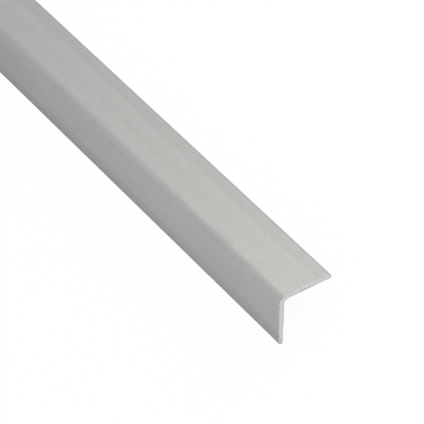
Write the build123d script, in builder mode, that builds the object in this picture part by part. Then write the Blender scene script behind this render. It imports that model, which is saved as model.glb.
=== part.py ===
from build123d import *
import os

# Equal-leg aluminium angle: one extrusion, sawn square at both ends.
# It lies as a tent on its two free edges, with the outside corner on top.
# Millimetres, +Z up, +X along the length. The origin is on the floor below the middle.

leg_width = 25.0            # outside corner to free edge, the same on both legs
wall_thickness = 2.0        # both legs
outer_corner_radius = 3.5   # outside of the bend
inner_corner_radius = 2.5   # root fillet between the legs
outer_edge_share = 0.7      # part of the wall that the outer arc of a free edge takes
stock_length = 1000.0       # sold length

# Each free edge is two arcs, a wide one from the outer face and a tight one from the inner face.
# They meet smoothly at the tip of the leg.
outer_edge_radius = wall_thickness * outer_edge_share
inner_edge_radius = wall_thickness - outer_edge_radius
outer_edge_start = leg_width - outer_edge_radius
inner_edge_start = leg_width - inner_edge_radius
inner_corner = wall_thickness + inner_corner_radius

# Both legs slope down at 45 degrees. The inner arcs of their edges touch the floor at Z = 0,
# which puts the sharp outside corner, before rounding, at this height.
slope = 45.0
contact_distance = inner_edge_start + outer_edge_radius     # down one leg and across, to that arc's centre
corner_height = contact_distance * Vector(1, 0).rotate(Axis.Z, slope).X + inner_edge_radius

section_plane = Plane(
    origin=(-stock_length / 2, 0, corner_height),
    x_dir=(0, -1, -1),      # down the leg on the -Y side
    z_dir=(1, 0, 0),        # towards the +X end, so local Y runs down the +Y leg
)

os.makedirs("parts", exist_ok=True)

# The section has the outside corner at the local origin and one leg on each local axis.
with BuildPart() as angle_section:
    with BuildSketch(section_plane):
        with BuildLine():
            outer_face_a = Line((outer_edge_start, 0), (outer_corner_radius, 0))
            outer_bend = CenterArc((outer_corner_radius, outer_corner_radius), outer_corner_radius, 270, -90)
            outer_face_b = Line(outer_bend @ 1, (0, outer_edge_start))
            outer_edge_b = CenterArc((outer_edge_radius, outer_edge_start), outer_edge_radius, 180, -90)
            inner_edge_b = CenterArc((outer_edge_radius, inner_edge_start), inner_edge_radius, 90, -90)
            inner_face_b = Line(inner_edge_b @ 1, (wall_thickness, inner_corner))
            root_fillet = CenterArc((inner_corner, inner_corner), inner_corner_radius, 180, 90)
            inner_face_a = Line(root_fillet @ 1, (inner_edge_start, wall_thickness))
            inner_edge_a = CenterArc((inner_edge_start, outer_edge_radius), inner_edge_radius, 90, -90)
            outer_edge_a = CenterArc((outer_edge_start, outer_edge_radius), outer_edge_radius, 0, -90)
        make_face()
    extrude(amount=stock_length)

angle_section.part.label = "angle_section"
export_step(angle_section.part, "parts/angle_section.step")
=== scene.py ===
import math

import bmesh
import bpy
from mathutils import Matrix, Vector, noise


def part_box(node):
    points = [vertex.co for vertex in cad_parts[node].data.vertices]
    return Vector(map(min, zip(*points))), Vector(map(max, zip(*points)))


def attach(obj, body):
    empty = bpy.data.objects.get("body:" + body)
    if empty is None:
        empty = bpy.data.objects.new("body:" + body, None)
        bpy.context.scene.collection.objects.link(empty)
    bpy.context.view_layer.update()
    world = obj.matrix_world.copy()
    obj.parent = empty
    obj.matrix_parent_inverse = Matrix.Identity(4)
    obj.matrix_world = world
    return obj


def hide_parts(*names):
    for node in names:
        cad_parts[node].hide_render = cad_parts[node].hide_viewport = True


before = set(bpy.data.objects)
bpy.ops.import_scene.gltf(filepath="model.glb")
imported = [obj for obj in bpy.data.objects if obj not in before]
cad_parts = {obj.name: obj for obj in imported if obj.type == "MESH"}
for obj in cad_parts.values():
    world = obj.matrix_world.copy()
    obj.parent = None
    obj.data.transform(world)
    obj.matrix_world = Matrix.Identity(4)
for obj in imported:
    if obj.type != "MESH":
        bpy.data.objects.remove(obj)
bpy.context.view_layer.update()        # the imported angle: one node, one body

mm = 0.001
halfRoot = math.sqrt(0.5)        # both legs slope at 45 degrees
print("frame loaded:", sorted(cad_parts))


# Camera: at the photographed angle, just over a metre from the sawn end, with a long lens.
camera = {
    "location": (1.1159, 0.1840, 0.8492),
    "right": (0.5704, 0.5789, -0.5826),  # across the picture, so the object's up leans to the left
    "up": (-0.5407, 0.7987, 0.2642),
    "lens": 231.9,
    "sensor": 36.0,
    "clipStart": 0.05,
    "clipEnd": 200.0,
}


def makeCamera(values):
    data = bpy.data.cameras.new("photoCamera")
    data.lens = values["lens"]
    data.sensor_width = values["sensor"]
    data.sensor_fit = "HORIZONTAL"
    data.clip_start = values["clipStart"]
    data.clip_end = values["clipEnd"]
    view = bpy.data.objects.new("photoCamera", data)
    bpy.context.scene.collection.objects.link(view)
    right = Vector(values["right"]).normalized()
    up = Vector(values["up"]).normalized()
    turn = Matrix((right, up, right.cross(up))).transposed().to_4x4()
    turn.translation = values["location"]
    view.matrix_world = turn
    bpy.context.scene.camera = view


# Studio: a wide white floor under a pale sky that is dark only along the horizon, and two soft lamps
# beside the near end, so that the far end falls off a little.
studio = {
    "floorSize": 60.0,
    "floorColour": (0.98, 0.98, 0.98),
    "floorWhite": 0.955,         # share of the background that is plain white; the rest takes the shadow
    "skyLevels": (               # height as a share of straight up, and brightness
        (0.10, 0.12), (0.45, 0.94), (0.85, 0.79),
    ),
}
lamps = {
    "keyLamp": {"place": (0.45, 0.75, 0.35), "aim": (0.42, 0.0, 0.0), "size": 0.6, "power": 3.4,
                "colour": (1.0, 1.0, 0.97)},
    "fillLamp": {"place": (0.405, -0.45, 0.13), "aim": (0.40, 0.0, 0.0), "size": 0.3, "power": 0.28,
                 "colour": (1.0, 0.97, 1.11)},
}


def addNode(tree, kind, place=(0, 0), **settings):
    node = tree.nodes.new(kind)
    node.location = place
    for name, value in settings.items():
        setattr(node, name, value)
    return node


def addRamp(tree, place, stops, blend="LINEAR"):
    node = addNode(tree, "ShaderNodeValToRGB", place)
    ramp = node.color_ramp
    ramp.interpolation = blend
    while len(ramp.elements) < len(stops):
        ramp.elements.new(1.0)
    for element, (position, level) in zip(ramp.elements, stops):
        element.position = position
        element.color = (level, level, level, 1)
    return node


def makeFloor(values):
    half = values["floorSize"] / 2
    corners = [(-half, -half, 0), (half, -half, 0), (half, half, 0), (-half, half, 0)]
    mesh = bpy.data.meshes.new("floor")
    mesh.from_pydata(corners, [], [(0, 1, 2, 3)])
    floor = bpy.data.objects.new("floor", mesh)
    bpy.context.scene.collection.objects.link(floor)
    mesh.materials.append(makePaper(values))


# Nearly white where the camera sees it, straight on or in the metal, and plain paper to all other light.
def makePaper(values):
    material = bpy.data.materials.new("floorPaper")
    material.use_nodes = True
    tree = material.node_tree
    tree.nodes.clear()
    link = tree.links.new
    out = addNode(tree, "ShaderNodeOutputMaterial", (600, 0))
    paper = addNode(tree, "ShaderNodeBsdfDiffuse", (0, 0))
    paper.inputs["Color"].default_value = (*values["floorColour"], 1)
    white = addNode(tree, "ShaderNodeEmission", (0, -150))
    white.inputs["Strength"].default_value = 1.0

    path = addNode(tree, "ShaderNodeLightPath", (-600, 200))
    seen = path.outputs["Is Camera Ray"]
    for i, kind in enumerate(("Is Glossy Ray", "Is Transmission Ray")):
        either = addNode(tree, "ShaderNodeMath", (-400 + 200 * i, 200), operation="MAXIMUM")
        link(seen, either.inputs[0])
        link(path.outputs[kind], either.inputs[1])
        seen = either.outputs[0]
    share = addNode(tree, "ShaderNodeMath", (0, 200), operation="MULTIPLY")
    share.inputs[1].default_value = values["floorWhite"]
    link(seen, share.inputs[0])

    mix = addNode(tree, "ShaderNodeMixShader", (300, 0))
    link(share.outputs[0], mix.inputs["Fac"])
    link(paper.outputs[0], mix.inputs[1])
    link(white.outputs[0], mix.inputs[2])
    link(mix.outputs[0], out.inputs["Surface"])
    return material


def makeSky(values):
    world = bpy.data.worlds.new("paleStudio")
    bpy.context.scene.world = world
    world.use_nodes = True
    tree = world.node_tree
    tree.nodes.clear()
    link = tree.links.new
    out = addNode(tree, "ShaderNodeOutputWorld", (600, 0))
    sky = addNode(tree, "ShaderNodeBackground", (400, 0))
    where = addNode(tree, "ShaderNodeTexCoord", (-400, 0))
    split = addNode(tree, "ShaderNodeSeparateXYZ", (-200, 0))
    level = addRamp(tree, (100, 0), values["skyLevels"], "EASE")
    link(where.outputs["Generated"], split.inputs[0])
    link(split.outputs["Z"], level.inputs["Fac"])
    link(level.outputs["Color"], sky.inputs["Color"])
    link(sky.outputs[0], out.inputs["Surface"])


def makeLamp(name, values):
    data = bpy.data.lights.new(name, "AREA")
    data.shape = "DISK"
    data.size = values["size"]
    data.energy = values["power"]
    data.color = values["colour"]
    lamp = bpy.data.objects.new(name, data)
    bpy.context.scene.collection.objects.link(lamp)
    lamp.location = values["place"]
    lamp.rotation_mode = "QUATERNION"
    lamp.rotation_quaternion = (Vector(values["aim"]) - lamp.location).to_track_quat("-Z", "Y")
    lamp.visible_camera = False


makeCamera(camera)
makeFloor(studio)
makeSky(studio)
for lampName, lampValues in lamps.items():
    makeLamp(lampName, lampValues)
bpy.context.scene.view_settings.view_transform = "Standard"
print("camera, floor and light made")


# The stock: the solid's own section, run from end to end, with the saw's traces at both ends. All in mm.
stock = {
    "wall": 2.0,
    "bendRadius": 3.5,           # outside of the corner
    "rootRadius": 2.5,           # inside of the corner
    "outerEdgeRadius": 1.4,      # a free edge, from the outer face
    "innerEdgeRadius": 0.6,      # and from the inner face
    "bendSteps": 10,             # in half of either corner arc
    "faceSteps": 84,
    "tipSteps": 7,               # in a quarter turn at a free edge
    "wallSteps": 8,              # across the wall on the sawn ends
    "endDepths": (0, .03, .06, .09, .13, .18, .24, .32, .42, .55, .7, .9, 1.2, 1.6, 2.2, 3, 5, 8, 14, 25, 40),
    "reliefEnds": 0.6,           # the saw's relief is gone at this depth
    "longStep": 20.0,            # between sections along the middle
    "uvRuns": 3,                 # runs that the length is cut into on the texture
    "uvGap": 2.0,
}
# The sawn ends. Both have a slightly broken edge, low ridges from the blade and a dark line along the inner
# edge that is painted shade of a burr. At the near end the saw also left nicks and burrs along the -Y leg.
cut = {
    "edgeBreak": 0.12,
    "edgeUneven": 0.10,
    "edgeNoise": 0.9,            # per mm along the edge
    "edgeSeed": 20.0,            # sets the edges of the two ends apart
    "faceBack": 0.05,            # the cut face lies this far inside the longest point
    "bladeCentre": (70.0, 110.0),        # Y and Z of the saw's axle
    "ridgeHeight": 0.018,
    "ridgeSpacing": 0.8,
    "ridgeWander": 2.0,          # how far a ridge strays, in radians
    "wanderNoise": 0.7,          # and how often, per mm
    "waveNoise": 0.35,           # per mm, of the slow waves between the ridges
    "waveSeed": 5.0,
    "nicks": (                   # down the -Y leg from the corner, depth, half width, reach along the length
        (5.4, 0.52, 0.75, 1.2),
        (9.1, 0.14, 0.40, 0.6),
        (13.3, 0.36, 0.50, 1.1),
        (16.2, 0.18, 0.35, 0.7),
        (20.1, 0.30, 0.80, 1.0),
    ),
    "nickSpread": 3.0,           # half widths out to which a nick counts
    "nickRunOut": 1.5,           # more makes a nick shallower away from the cut
    "burrs": (                   # down the -Y leg: start, rise, stop, fall, and how far it stands out
        (2.5, 1.5, 18.5, 5.5, 0.30),
        (20.5, 1.5, 24.3, 0.5, 0.10),
    ),
    "burrReach": 0.45,
    "faceTurn": 0.5,             # past this, a normal across the -Y leg is on one of its faces
    "brightEdge": (              # the bare metal turns over the edge: down the -Y leg, and how far
        (21.0, 0.20), (24.0, 0.0),
    ),
    "brightPatch": (12.5, 3.5, 0.16),    # and on the +Y leg: middle down the leg, half width, how far
    "innerShadeWidth": (                # down either leg, where minus is the -Y leg, and how wide the painted shade line along the inner edge is
        (-4.0, 0.80), (2.0, 0.95), (4.0, 0.92), (7.0, 0.85), (8.8, 1.04), (11.5, 1.10),
        (13.5, 1.03), (16.5, 0.91), (22.0, 1.02),
    ),
}
skinSlot, sawnSlot = 0, 1        # the stock's materials, in the order in which they are added below


# The two arcs of a free edge set how wide the angle stands and how high its corner is.
stockLow, stockHigh = (Vector(corner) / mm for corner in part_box("angle_section"))
legWidth = 2 * stock["outerEdgeRadius"] + (stockHigh.y - stock["outerEdgeRadius"]) / halfRoot
edgeCentre = legWidth - stock["innerEdgeRadius"] + stock["outerEdgeRadius"]
cornerHeight = edgeCentre * halfRoot + stock["innerEdgeRadius"]


# A point of the section is (distance down the -Y leg, distance down the +Y leg) from the sharp outside
# corner. This gives its Y and Z.
def crossPlace(point):
    return Vector(((point.y - point.x) * halfRoot, cornerHeight - (point.x + point.y) * halfRoot))


# Points with their normals round an arc. The angles are in degrees, and facing is -1 for a hollow arc.
def arcPoints(centre, radius, start, end, steps, facing=1):
    points = []
    for i in range(steps + 1):
        angle = math.radians(start + (end - start) * i / steps)
        turn = Vector((math.cos(angle), math.sin(angle)))
        points.append((Vector(centre) + radius * turn, facing * turn))
    return points


def facePoints(across, start, end, steps, facing):
    downs = [start + (end - start) * i / steps for i in range(steps + 1)]
    return [(Vector((across, down)), Vector((facing, 0))) for down in downs]


# Half of each side of the section, from the middle of the corner to the tip of the +Y leg.
def halfPaths(values):
    wall, bend, root = values["wall"], values["bendRadius"], values["rootRadius"]
    outerEdge, innerEdge = values["outerEdgeRadius"], values["innerEdgeRadius"]
    steps, tipSteps = values["faceSteps"], values["tipSteps"]
    outer = arcPoints((bend, bend), bend, 225, 180, values["bendSteps"])
    outer += facePoints(0, bend, legWidth - outerEdge, steps, -1)[1:]
    outer += arcPoints((outerEdge, legWidth - outerEdge), outerEdge, 180, 90, tipSteps)[1:]
    inner = arcPoints((wall + root, wall + root), root, 225, 180, values["bendSteps"], -1)
    inner += facePoints(wall, wall + root, legWidth - innerEdge, steps, 1)[1:]
    inner += arcPoints((outerEdge, legWidth - innerEdge), innerEdge, 0, 90, tipSteps)[1:]
    return outer, inner


def bothLegs(half):
    swapped = [(point.yx, normal.yx) for point, normal in half]
    return swapped[:0:-1] + half


# The level at one place of a row of (place, level) stops, straight between them.
def levelAt(stops, place):
    if place <= stops[0][0]:
        return stops[0][1]
    for (near, low), (far, high) in zip(stops, stops[1:]):
        if place <= far:
            return low + (high - low) * (place - near) / (far - near)
    return stops[-1][1]


# How far a point of the skin draws in from the plain section, by its depth behind the sawn end. A burr
# stands out instead.
def drawnIn(point, normal, depth, end):
    spot = Vector((point.x, point.y, cut["edgeSeed"] * end)) * cut["edgeNoise"]
    width = cut["edgeBreak"] + cut["edgeUneven"] * noise.noise(spot)
    left = 1 - min(depth / (2 * width), 1)
    amount = width * (1 - math.sqrt(1 - left * left))
    if end > 0 and normal.y < -cut["faceTurn"]:
        for place, deep, half, reach in cut["nicks"]:
            side = (point.x - place) / half
            if abs(side) < cut["nickSpread"]:
                runOut = max(0, 1 - depth / reach) ** cut["nickRunOut"]
                amount += deep * math.exp(-side * side) * runOut
    if end > 0 and normal.y > cut["faceTurn"]:
        for start, rise, stop, fall, height in cut["burrs"]:
            share = min(1, (point.x - start) / rise, (stop - point.x) / fall)
            amount -= height * max(0, share) * max(0, 1 - depth / cut["burrReach"])
    return amount


# How far the cut face lies behind the longest point, with the blade's arcs across it.
def cutBack(point, end):
    blade = (crossPlace(point) - Vector(cut["bladeCentre"])).length
    wander = cut["ridgeWander"] * noise.noise(Vector((blade * cut["wanderNoise"], 0, end)))
    ridge = math.sin(2 * math.pi * blade / cut["ridgeSpacing"] + wander)
    often = cut["waveNoise"]
    wave = noise.noise(Vector((point.x * often, point.y * often, cut["waveSeed"] * end)))
    return cut["faceBack"] + cut["ridgeHeight"] * (ridge + wave)


# How far behind the cut the bare metal turns over the edge.
def brightReach(point):
    if point.x > point.y:
        return levelAt(cut["brightEdge"], point.x)
    middle, half, reach = cut["brightPatch"]
    return reach * math.exp(-((point.y - middle) / half) ** 2)


# How far across the wall a point of the cut counts as lying, for its tone: 0 outside, 1 inside. It is scaled
# along the legs, which sets how wide the painted shade line at the inner edge is.
def wallShare(point, share):
    return share * levelAt(cut["innerShadeWidth"], point.y - point.x)


# The sections along the length, each with its X, its depth behind a sawn end and which end that is.
# Along the middle the depth has no bounds and the end is 0.
def lengthStations(values):
    low, high, depths = stockLow.x, stockHigh.x, values["endDepths"]
    steps = math.ceil((high - low - 2 * depths[-1]) / values["longStep"])
    span = (high - low - 2 * depths[-1]) / steps
    runLength = (high - low) / values["uvRuns"]
    stations = [(low + depth, depth, -1) for depth in depths]
    stations += [(low + depths[-1] + span * i, math.inf, 0) for i in range(1, steps)]
    stations += [(low + runLength * i, math.inf, 0) for i in range(1, values["uvRuns"])]
    stations += [(high - depth, depth, 1) for depth in depths]
    return sorted(stations)


# Where everything lies on the texture, in mm: the runs of the skin in rows above each other, and over
# them both sawn ends side by side.
def planTexture(values, ring):
    around = [0.0]
    for (point, _), (following, _) in zip(ring, ring[1:] + ring[:1]):
        around.append(around[-1] + (following - point).length)
    gap, runs = values["uvGap"], values["uvRuns"]
    runLength = (stockHigh.x - stockLow.x) / runs
    rowHeight = around[-1] + gap
    cutHeight = stockHigh.z - stockLow.z + gap
    return {
        "around": around,
        "runLength": runLength,
        "rowHeight": rowHeight,
        "cutWidth": stockHigh.y - stockLow.y + gap,
        "cutBottom": gap + runs * rowHeight,
        "size": max(runLength + 2 * gap, runs * rowHeight + cutHeight + gap),
    }


# One section of the skin at its place along the length.
def laySection(bm, acrossWall, ring, outerCount, station, values):
    x, depth, end = station
    row = []
    for i, (point, normal) in enumerate(ring):
        moved, at = point, x
        if end:
            moved = point - normal * drawnIn(point, normal, depth, end)
            at = x - end * cutBack(point, end) * max(0, 1 - depth / values["reliefEnds"])
        vert = bm.verts.new(Vector((at, *crossPlace(moved))) * mm)
        vert[acrossWall] = wallShare(point, 0 if i < outerCount else 1)
        row.append(vert)
    return row


# The skin between two sections, in its run on the texture.
def joinSections(bm, uvLayer, ring, first, second, stations, plan, values):
    (x0, depth0, _), (x1, depth1, _) = stations
    low, gap, around = stockLow.x, values["uvGap"], plan["around"]
    run = min(int(((x0 + x1) / 2 - low) / plan["runLength"]), values["uvRuns"] - 1)
    for i in range(len(ring)):
        j = (i + 1) % len(ring)
        face = bm.faces.new((first[i], second[i], second[j], first[j]))
        face.smooth = True
        bare = max(depth0, depth1) <= brightReach(ring[i][0])
        face.material_index = sawnSlot if bare else skinSlot
        corners = ((x0, around[i]), (x1, around[i]), (x1, around[i + 1]), (x0, around[i + 1]))
        for loop, (x, s) in zip(face.loops, corners):
            along = x - low - run * plan["runLength"] + gap
            up = s + gap + run * plan["rowHeight"]
            loop[uvLayer].uv = (along / plan["size"], up / plan["size"])


# One sawn end: a grid between the outer and inner sides of the section, closed to the last ring.
def closeEnd(bm, layers, outer, inner, row, end, plan, values):
    steps, last = values["wallSteps"], len(outer) - 1
    endX = stockHigh.x if end > 0 else stockLow.x
    uvLayer, acrossWall = layers
    columns = []
    for i in range(last + 1):
        if i in (0, last):
            columns.append([row[i]] * (steps + 1))
            continue
        column = [row[i]]
        for k in range(1, steps):
            point = outer[i][0].lerp(inner[i][0], k / steps)
            vert = bm.verts.new(Vector((endX - end * cutBack(point, end), *crossPlace(point))) * mm)
            vert[acrossWall] = wallShare(point, k / steps)
            column.append(vert)
        columns.append(column + [row[-i]])

    gap, size = values["uvGap"], plan["size"]
    shiftY = gap - stockLow.y + (plan["cutWidth"] if end > 0 else 0)
    for left, right in zip(columns, columns[1:]):
        for k in range(steps):
            corners = [left[k], left[k + 1], right[k + 1], right[k]]
            corners = [vert for n, vert in enumerate(corners) if vert not in corners[:n]]
            face = bm.faces.new(corners if end > 0 else corners[::-1])
            face.material_index = sawnSlot
            face.smooth = True
            for loop in face.loops:
                y, z = loop.vert.co.y / mm, loop.vert.co.z / mm
                loop[uvLayer].uv = ((y + shiftY) / size, (z + plan["cutBottom"]) / size)
    for vert, following in zip(row, row[1:] + row[:1]):
        bm.edges.get((vert, following)).smooth = False


def makeStock(values):
    outer, inner = (bothLegs(half) for half in halfPaths(values))
    ring = outer + inner[-2:0:-1]
    stations = lengthStations(values)
    plan = planTexture(values, ring)

    bm = bmesh.new()
    uvLayer = bm.loops.layers.uv.new("OFBake")
    acrossWall = bm.verts.layers.float.new("acrossWall")
    rows = [laySection(bm, acrossWall, ring, len(outer), station, values) for station in stations]
    for i in range(len(rows) - 1):
        joinSections(bm, uvLayer, ring, rows[i], rows[i + 1], stations[i:i + 2], plan, values)
    for end, row in ((-1, rows[0]), (1, rows[-1])):
        closeEnd(bm, (uvLayer, acrossWall), outer, inner, row, end, plan, values)

    mesh = bpy.data.meshes.new("angleStock")
    bm.normal_update()
    bm.to_mesh(mesh)
    bm.free()
    piece = bpy.data.objects.new("angleStock", mesh)
    bpy.context.scene.collection.objects.link(piece)
    return piece


piece = makeStock(stock)
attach(piece, "root")
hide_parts("angle_section")
print("stock made:", len(piece.data.vertices), "vertices,", len(piece.data.polygons), "faces")


# The grain that both materials share: fine lines along X and an even mottle. Each material gives its own
# sizes, in mm, and how much of either there is.
grainInputs = ("Line Length", "Line Width", "Line Share", "Mottle Size", "Fineness", "Shade Change",
               "Roughness", "Roughness Change")
grainNoise = {
    "lineDetail": 4.0,
    "lineFineness": 0.6,
    "mottleDetail": 5.0,
}


def addNoise(tree, place, detail, **settings):
    node = addNode(tree, "ShaderNodeTexNoise", place, **settings)
    node.inputs["Scale"].default_value = 1.0
    node.inputs["Detail"].default_value = detail
    return node


def makeGrain(values):
    group = bpy.data.node_groups.new("metalGrain", "ShaderNodeTree")
    sockets = group.interface
    sockets.new_socket("Place", in_out="INPUT", socket_type="NodeSocketVector")
    for name in grainInputs:
        sockets.new_socket(name, in_out="INPUT", socket_type="NodeSocketFloat")
    for name in ("Shade", "Roughness", "Height"):
        sockets.new_socket(name, in_out="OUTPUT", socket_type="NodeSocketFloat")
    given = addNode(group, "NodeGroupInput", (-900, 0))
    result = addNode(group, "NodeGroupOutput", (900, 0))
    link = group.links.new

    size = addNode(group, "ShaderNodeCombineXYZ", (-700, 150))
    link(given.outputs["Line Length"], size.inputs["X"])
    link(given.outputs["Line Width"], size.inputs["Y"])
    link(given.outputs["Line Width"], size.inputs["Z"])
    stretched = addNode(group, "ShaderNodeVectorMath", (-500, 150), operation="DIVIDE")
    link(given.outputs["Place"], stretched.inputs[0])
    link(size.outputs[0], stretched.inputs[1])
    lines = addNoise(group, (-300, 150), values["lineDetail"])
    lines.inputs["Roughness"].default_value = values["lineFineness"]
    link(stretched.outputs[0], lines.inputs["Vector"])

    evenly = addNode(group, "ShaderNodeVectorMath", (-500, -150), operation="DIVIDE")
    link(given.outputs["Place"], evenly.inputs[0])
    link(given.outputs["Mottle Size"], evenly.inputs[1])
    mottle = addNoise(group, (-300, -150), values["mottleDetail"])
    link(evenly.outputs[0], mottle.inputs["Vector"])
    link(given.outputs["Fineness"], mottle.inputs["Roughness"])

    both = addNode(group, "ShaderNodeMix", (-50, 0), data_type="FLOAT")
    link(given.outputs["Line Share"], both.inputs["Factor"])
    link(mottle.outputs["Fac"], both.inputs["A"])
    link(lines.outputs["Fac"], both.inputs["B"])
    centred = addNode(group, "ShaderNodeMath", (130, 0), operation="SUBTRACT")
    centred.inputs[1].default_value = 0.5        # the middle of both noises
    link(both.outputs[0], centred.inputs[0])
    shade = addNode(group, "ShaderNodeMath", (400, 150), operation="MULTIPLY_ADD")
    shade.inputs[2].default_value = 1.0
    link(centred.outputs[0], shade.inputs[0])
    link(given.outputs["Shade Change"], shade.inputs[1])
    rough = addNode(group, "ShaderNodeMath", (400, -50), operation="MULTIPLY_ADD")
    link(centred.outputs[0], rough.inputs[0])
    link(given.outputs["Roughness Change"], rough.inputs[1])
    link(given.outputs["Roughness"], rough.inputs[2])
    link(shade.outputs[0], result.inputs["Shade"])
    link(rough.outputs[0], result.inputs["Roughness"])
    link(both.outputs[0], result.inputs["Height"])
    return group


# The place on the object, in mm.
def millimetres(tree):
    where = addNode(tree, "ShaderNodeTexCoord", (-1500, 0))
    scaled = addNode(tree, "ShaderNodeVectorMath", (-1300, 0), operation="SCALE")
    scaled.inputs["Scale"].default_value = 1 / mm
    tree.links.new(where.outputs["Object"], scaled.inputs[0])
    return scaled.outputs[0]


def placeGrain(tree, group, place, values):
    node = addNode(tree, "ShaderNodeGroup", (-500, -100), node_tree=group)
    for name, value in values.items():
        node.inputs[name].default_value = value
    tree.links.new(place, node.inputs["Place"])
    return node


def multiply(tree, first, second, place):
    node = addNode(tree, "ShaderNodeMath", place, operation="MULTIPLY")
    tree.links.new(first, node.inputs[0])
    tree.links.new(second, node.inputs[1])
    return node.outputs[0]


# Joins a colour, its shade, the roughness and the relief to a metal shader.
def finishMetal(tree, colour, shade, grain, bumpDepth):
    bsdf = tree.nodes["Principled BSDF"]
    bsdf.inputs["Metallic"].default_value = 1.0
    tint = addNode(tree, "ShaderNodeVectorMath", (-200, 200), operation="SCALE")
    tint.inputs[0].default_value = colour
    bump = addNode(tree, "ShaderNodeBump", (-200, -300))
    bump.inputs["Strength"].default_value = 1.0
    bump.inputs["Distance"].default_value = bumpDepth * mm
    link = tree.links.new
    link(shade, tint.inputs["Scale"])
    link(tint.outputs[0], bsdf.inputs["Base Color"])
    link(grain.outputs["Roughness"], bsdf.inputs["Roughness"])
    link(grain.outputs["Height"], bump.inputs["Height"])
    link(bump.outputs[0], bsdf.inputs["Normal"])


# A tone told by the distance from the corner as a share of a leg, where minus is the -Y leg.
def legTone(tree, crossways, stops, place):
    span = legWidth * halfRoot
    across = addNode(tree, "ShaderNodeMapRange", place)
    across.inputs["From Min"].default_value = -span
    across.inputs["From Max"].default_value = span
    tone = addRamp(tree, (place[0] + 200, place[1]), [((share + 1) / 2, level) for share, level in stops])
    tree.links.new(crossways, across.inputs["Value"])
    tree.links.new(across.outputs["Result"], tone.inputs["Fac"])
    return tone.outputs["Color"]


# The satin skin. Its tone changes from band to band along the length, told by the mm from the corner down a
# leg, where minus is the -Y leg. Most of that tone is painted light: painted shade that darkens the -Y leg
# towards its free edge, painted shade in a band with a firm border along both free edges, and a painted
# highlight along the bend. The faint line near 9.9 mm and the steps near 18.8 mm down either leg are the
# extrusion's own banding.
skin = {
    "colour": (0.493, 0.508, 0.491),
    "grain": {
        "Line Length": 45.0, "Line Width": 0.18, "Line Share": 0.32,
        "Mottle Size": 1.5, "Fineness": 0.9,
        "Shade Change": 0.55, "Roughness": 0.62, "Roughness Change": 0.20,
    },
    "bumpDepth": 0.009,
    # tone by mm down a leg: painted shade down the -Y leg and at both free edges, a painted highlight on the
    # bend
    "bandsAndPaintedShade": (
        (-25.0, 0.66), (-23.5, 0.70), (-22.8, 0.76), (-22.0, 0.79), (-18.8, 0.86), (-18.2, 0.90),
        (-15.0, 0.93), (-10.0, 0.96), (-4.2, 0.97), (-3.2, 1.01), (-1.0, 1.03), (1.0, 1.02),
        (3.0, 1.01), (9.3, 1.01), (9.9, 0.98), (10.5, 0.99), (15.0, 1.01), (17.2, 1.02),
        (18.2, 0.99), (18.8, 0.95), (20.0, 0.95), (22.0, 0.97), (23.3, 0.98), (23.8, 0.89), (25.0, 0.83),
    ),
    "streakLength": 260.0,
    "streakWidth": 2.6,
    "streakDetail": 3.0,
    "streakChange": 0.018,
    # Darker patches. The two long ones, along the bend and on the -Y leg further from the near end, are
    # painted shade for the light falling off away from the lamps. The others only darken the tone near the
    # near end.
    "patchesAndPaintedShade": (                 # along the length, down the leg, half length, half width, depth of tone
        (452.0, -1.3, 19.0, 2.6, 0.02),
        (457.0, 3.0, 9.0, 2.6, 0.035),
        (480.0, 4.2, 7.0, 2.4, 0.03),
        (500.0, -14.0, 75.0, 14.0, 0.04),
        (262.0, -11.0, 80.0, 9.5, 0.06),
        (290.0, 0.2, 115.0, 3.2, 0.05),
    ),
    "patchCore": 0.5,           # a patch has its full tone out to this share of its reach
}


# Long faint streaks, over the place as (along the length, down the leg).
def streakTone(tree, flat, values):
    link = tree.links.new
    drawn = addNode(tree, "ShaderNodeVectorMath", (-500, 600), operation="DIVIDE")
    drawn.inputs[1].default_value = (values["streakLength"], values["streakWidth"], 1)
    link(flat, drawn.inputs[0])
    streaks = addNoise(tree, (-300, 600), values["streakDetail"], noise_dimensions="2D")
    link(drawn.outputs[0], streaks.inputs["Vector"])
    tone = addNode(tree, "ShaderNodeMapRange", (-100, 600))
    tone.inputs["To Min"].default_value = 1 - values["streakChange"]
    tone.inputs["To Max"].default_value = 1 + values["streakChange"]
    link(streaks.outputs["Fac"], tone.inputs["Value"])
    return tone.outputs["Result"]


# One soft darker patch, over the same place.
def patchTone(tree, flat, patch, core, row):
    along, downLeg, halfLength, halfWidth, depth = patch
    link = tree.links.new
    offset = addNode(tree, "ShaderNodeVectorMath", (-500, row), operation="SUBTRACT")
    offset.inputs[1].default_value = (along, downLeg, 0)
    shrunk = addNode(tree, "ShaderNodeVectorMath", (-350, row), operation="DIVIDE")
    shrunk.inputs[1].default_value = (halfLength, halfWidth, 1)
    far = addNode(tree, "ShaderNodeVectorMath", (-200, row), operation="LENGTH")
    tone = addNode(tree, "ShaderNodeMapRange", (0, row), interpolation_type="SMOOTHSTEP")
    tone.inputs["From Min"].default_value = core
    tone.inputs["To Min"].default_value = 1 - depth
    tone.inputs["To Max"].default_value = 1.0
    link(flat, offset.inputs[0])
    link(offset.outputs[0], shrunk.inputs[0])
    link(shrunk.outputs[0], far.inputs[0])
    link(far.outputs["Value"], tone.inputs["Value"])
    return tone.outputs["Result"]


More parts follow.
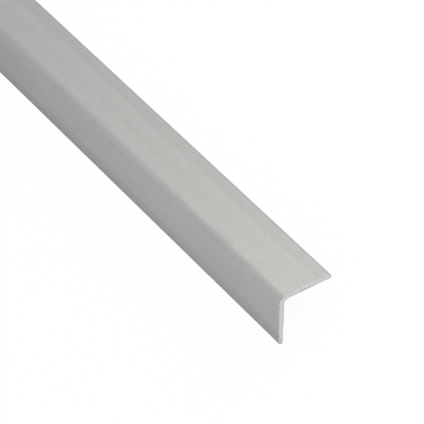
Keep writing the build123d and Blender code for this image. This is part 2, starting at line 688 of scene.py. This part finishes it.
def makeSkin(values, group):
    material = bpy.data.materials.new("satinSkin")
    material.use_nodes = True
    tree = material.node_tree
    link = tree.links.new
    place = millimetres(tree)
    grain = placeGrain(tree, group, place, values["grain"])
    split = addNode(tree, "ShaderNodeSeparateXYZ", (-1100, 300))
    link(place, split.inputs[0])
    down = addNode(tree, "ShaderNodeMath", (-900, 300), operation="DIVIDE")
    down.inputs[1].default_value = halfRoot
    link(split.outputs["Y"], down.inputs[0])
    flat = addNode(tree, "ShaderNodeCombineXYZ", (-700, 600))
    link(split.outputs["X"], flat.inputs["X"])
    link(down.outputs[0], flat.inputs["Y"])

    # the painted shade and highlight of these tone stops go into the skin's colour here
    stops = [(distance / legWidth, level) for distance, level in values["bandsAndPaintedShade"]]
    bandsAndPaintedShade = legTone(tree, split.outputs["Y"], stops, (-700, 300))
    shade = multiply(tree, grain.outputs["Shade"], bandsAndPaintedShade, (-200, 350))
    shade = multiply(tree, shade, streakTone(tree, flat.outputs[0], values), (0, 400))
    # darker patches, two of them painted shade of the light falling off away from the near end
    for i, patch in enumerate(values["patchesAndPaintedShade"]):
        row = 800 + 200 * i
        tone = patchTone(tree, flat.outputs[0], patch, values["patchCore"], row)
        shade = multiply(tree, shade, tone, (200, row))
    finishMetal(tree, values["colour"], shade, grain, values["bumpDepth"])
    return material


# The sawn ends are brighter bare metal, with lines along the blade's path and painted shade of a burr in a
# dark line along the inner edge.
sawn = {
    "colour": (0.70, 0.70, 0.70),
    "grain": {
        "Line Length": 14.0, "Line Width": 0.22, "Line Share": 0.5,
        "Mottle Size": 1.8, "Fineness": 0.65,
        "Shade Change": 0.64, "Roughness": 0.55, "Roughness Change": 0.24,
    },
    "bumpDepth": 0.04,
    "acrossToneAndInnerShade": (              # from the outer edge of the wall to the inner, falling to painted shade at the inner edge
        (0.0, 0.88), (0.12, 1.0), (0.62, 1.0), (0.76, 0.80), (0.80, 0.76), (0.90, 0.60), (1.0, 0.34),
    ),
    "downTone": (                # by the share of either leg
        (-1.0, 0.70), (-0.92, 0.87), (-0.78, 0.96), (-0.10, 0.98), (0.05, 1.0), (0.92, 1.0),
        (0.965, 0.95), (1.0, 0.80),
    ),
}


def makeSawn(values, group, bladeCentre):
    material = bpy.data.materials.new("sawnMetal")
    material.use_nodes = True
    tree = material.node_tree
    link = tree.links.new
    place = millimetres(tree)
    split = addNode(tree, "ShaderNodeSeparateXYZ", (-1100, -200))
    link(place, split.inputs[0])
    flat = addNode(tree, "ShaderNodeCombineXYZ", (-1100, -400))
    link(split.outputs["Y"], flat.inputs["X"])
    link(split.outputs["Z"], flat.inputs["Y"])
    arc = addNode(tree, "ShaderNodeVectorMath", (-900, -400), operation="DISTANCE")
    arc.inputs[1].default_value = (*bladeCentre, 0)
    link(flat.outputs[0], arc.inputs[0])
    bladePlace = addNode(tree, "ShaderNodeCombineXYZ", (-700, -300))
    link(split.outputs["Y"], bladePlace.inputs["X"])
    link(arc.outputs["Value"], bladePlace.inputs["Y"])
    link(split.outputs["X"], bladePlace.inputs["Z"])
    grain = placeGrain(tree, group, bladePlace.outputs[0], values["grain"])

    # tone across the wall, with painted shade along the inner edge
    across = addNode(tree, "ShaderNodeAttribute", (-700, 300), attribute_name="acrossWall")
    tone = addRamp(tree, (-500, 300), values["acrossToneAndInnerShade"])
    link(across.outputs["Fac"], tone.inputs["Fac"])
    shade = multiply(tree, grain.outputs["Shade"], tone.outputs["Color"], (-200, 350))
    down = legTone(tree, split.outputs["Y"], values["downTone"], (-900, 600))
    shade = multiply(tree, shade, down, (0, 450))
    finishMetal(tree, values["colour"], shade, grain, values["bumpDepth"])
    return material


grainGroup = makeGrain(grainNoise)
piece.data.materials.append(makeSkin(skin, grainGroup))
piece.data.materials.append(makeSawn(sawn, grainGroup, cut["bladeCentre"]))
print("materials made:", [material.name for material in piece.data.materials])
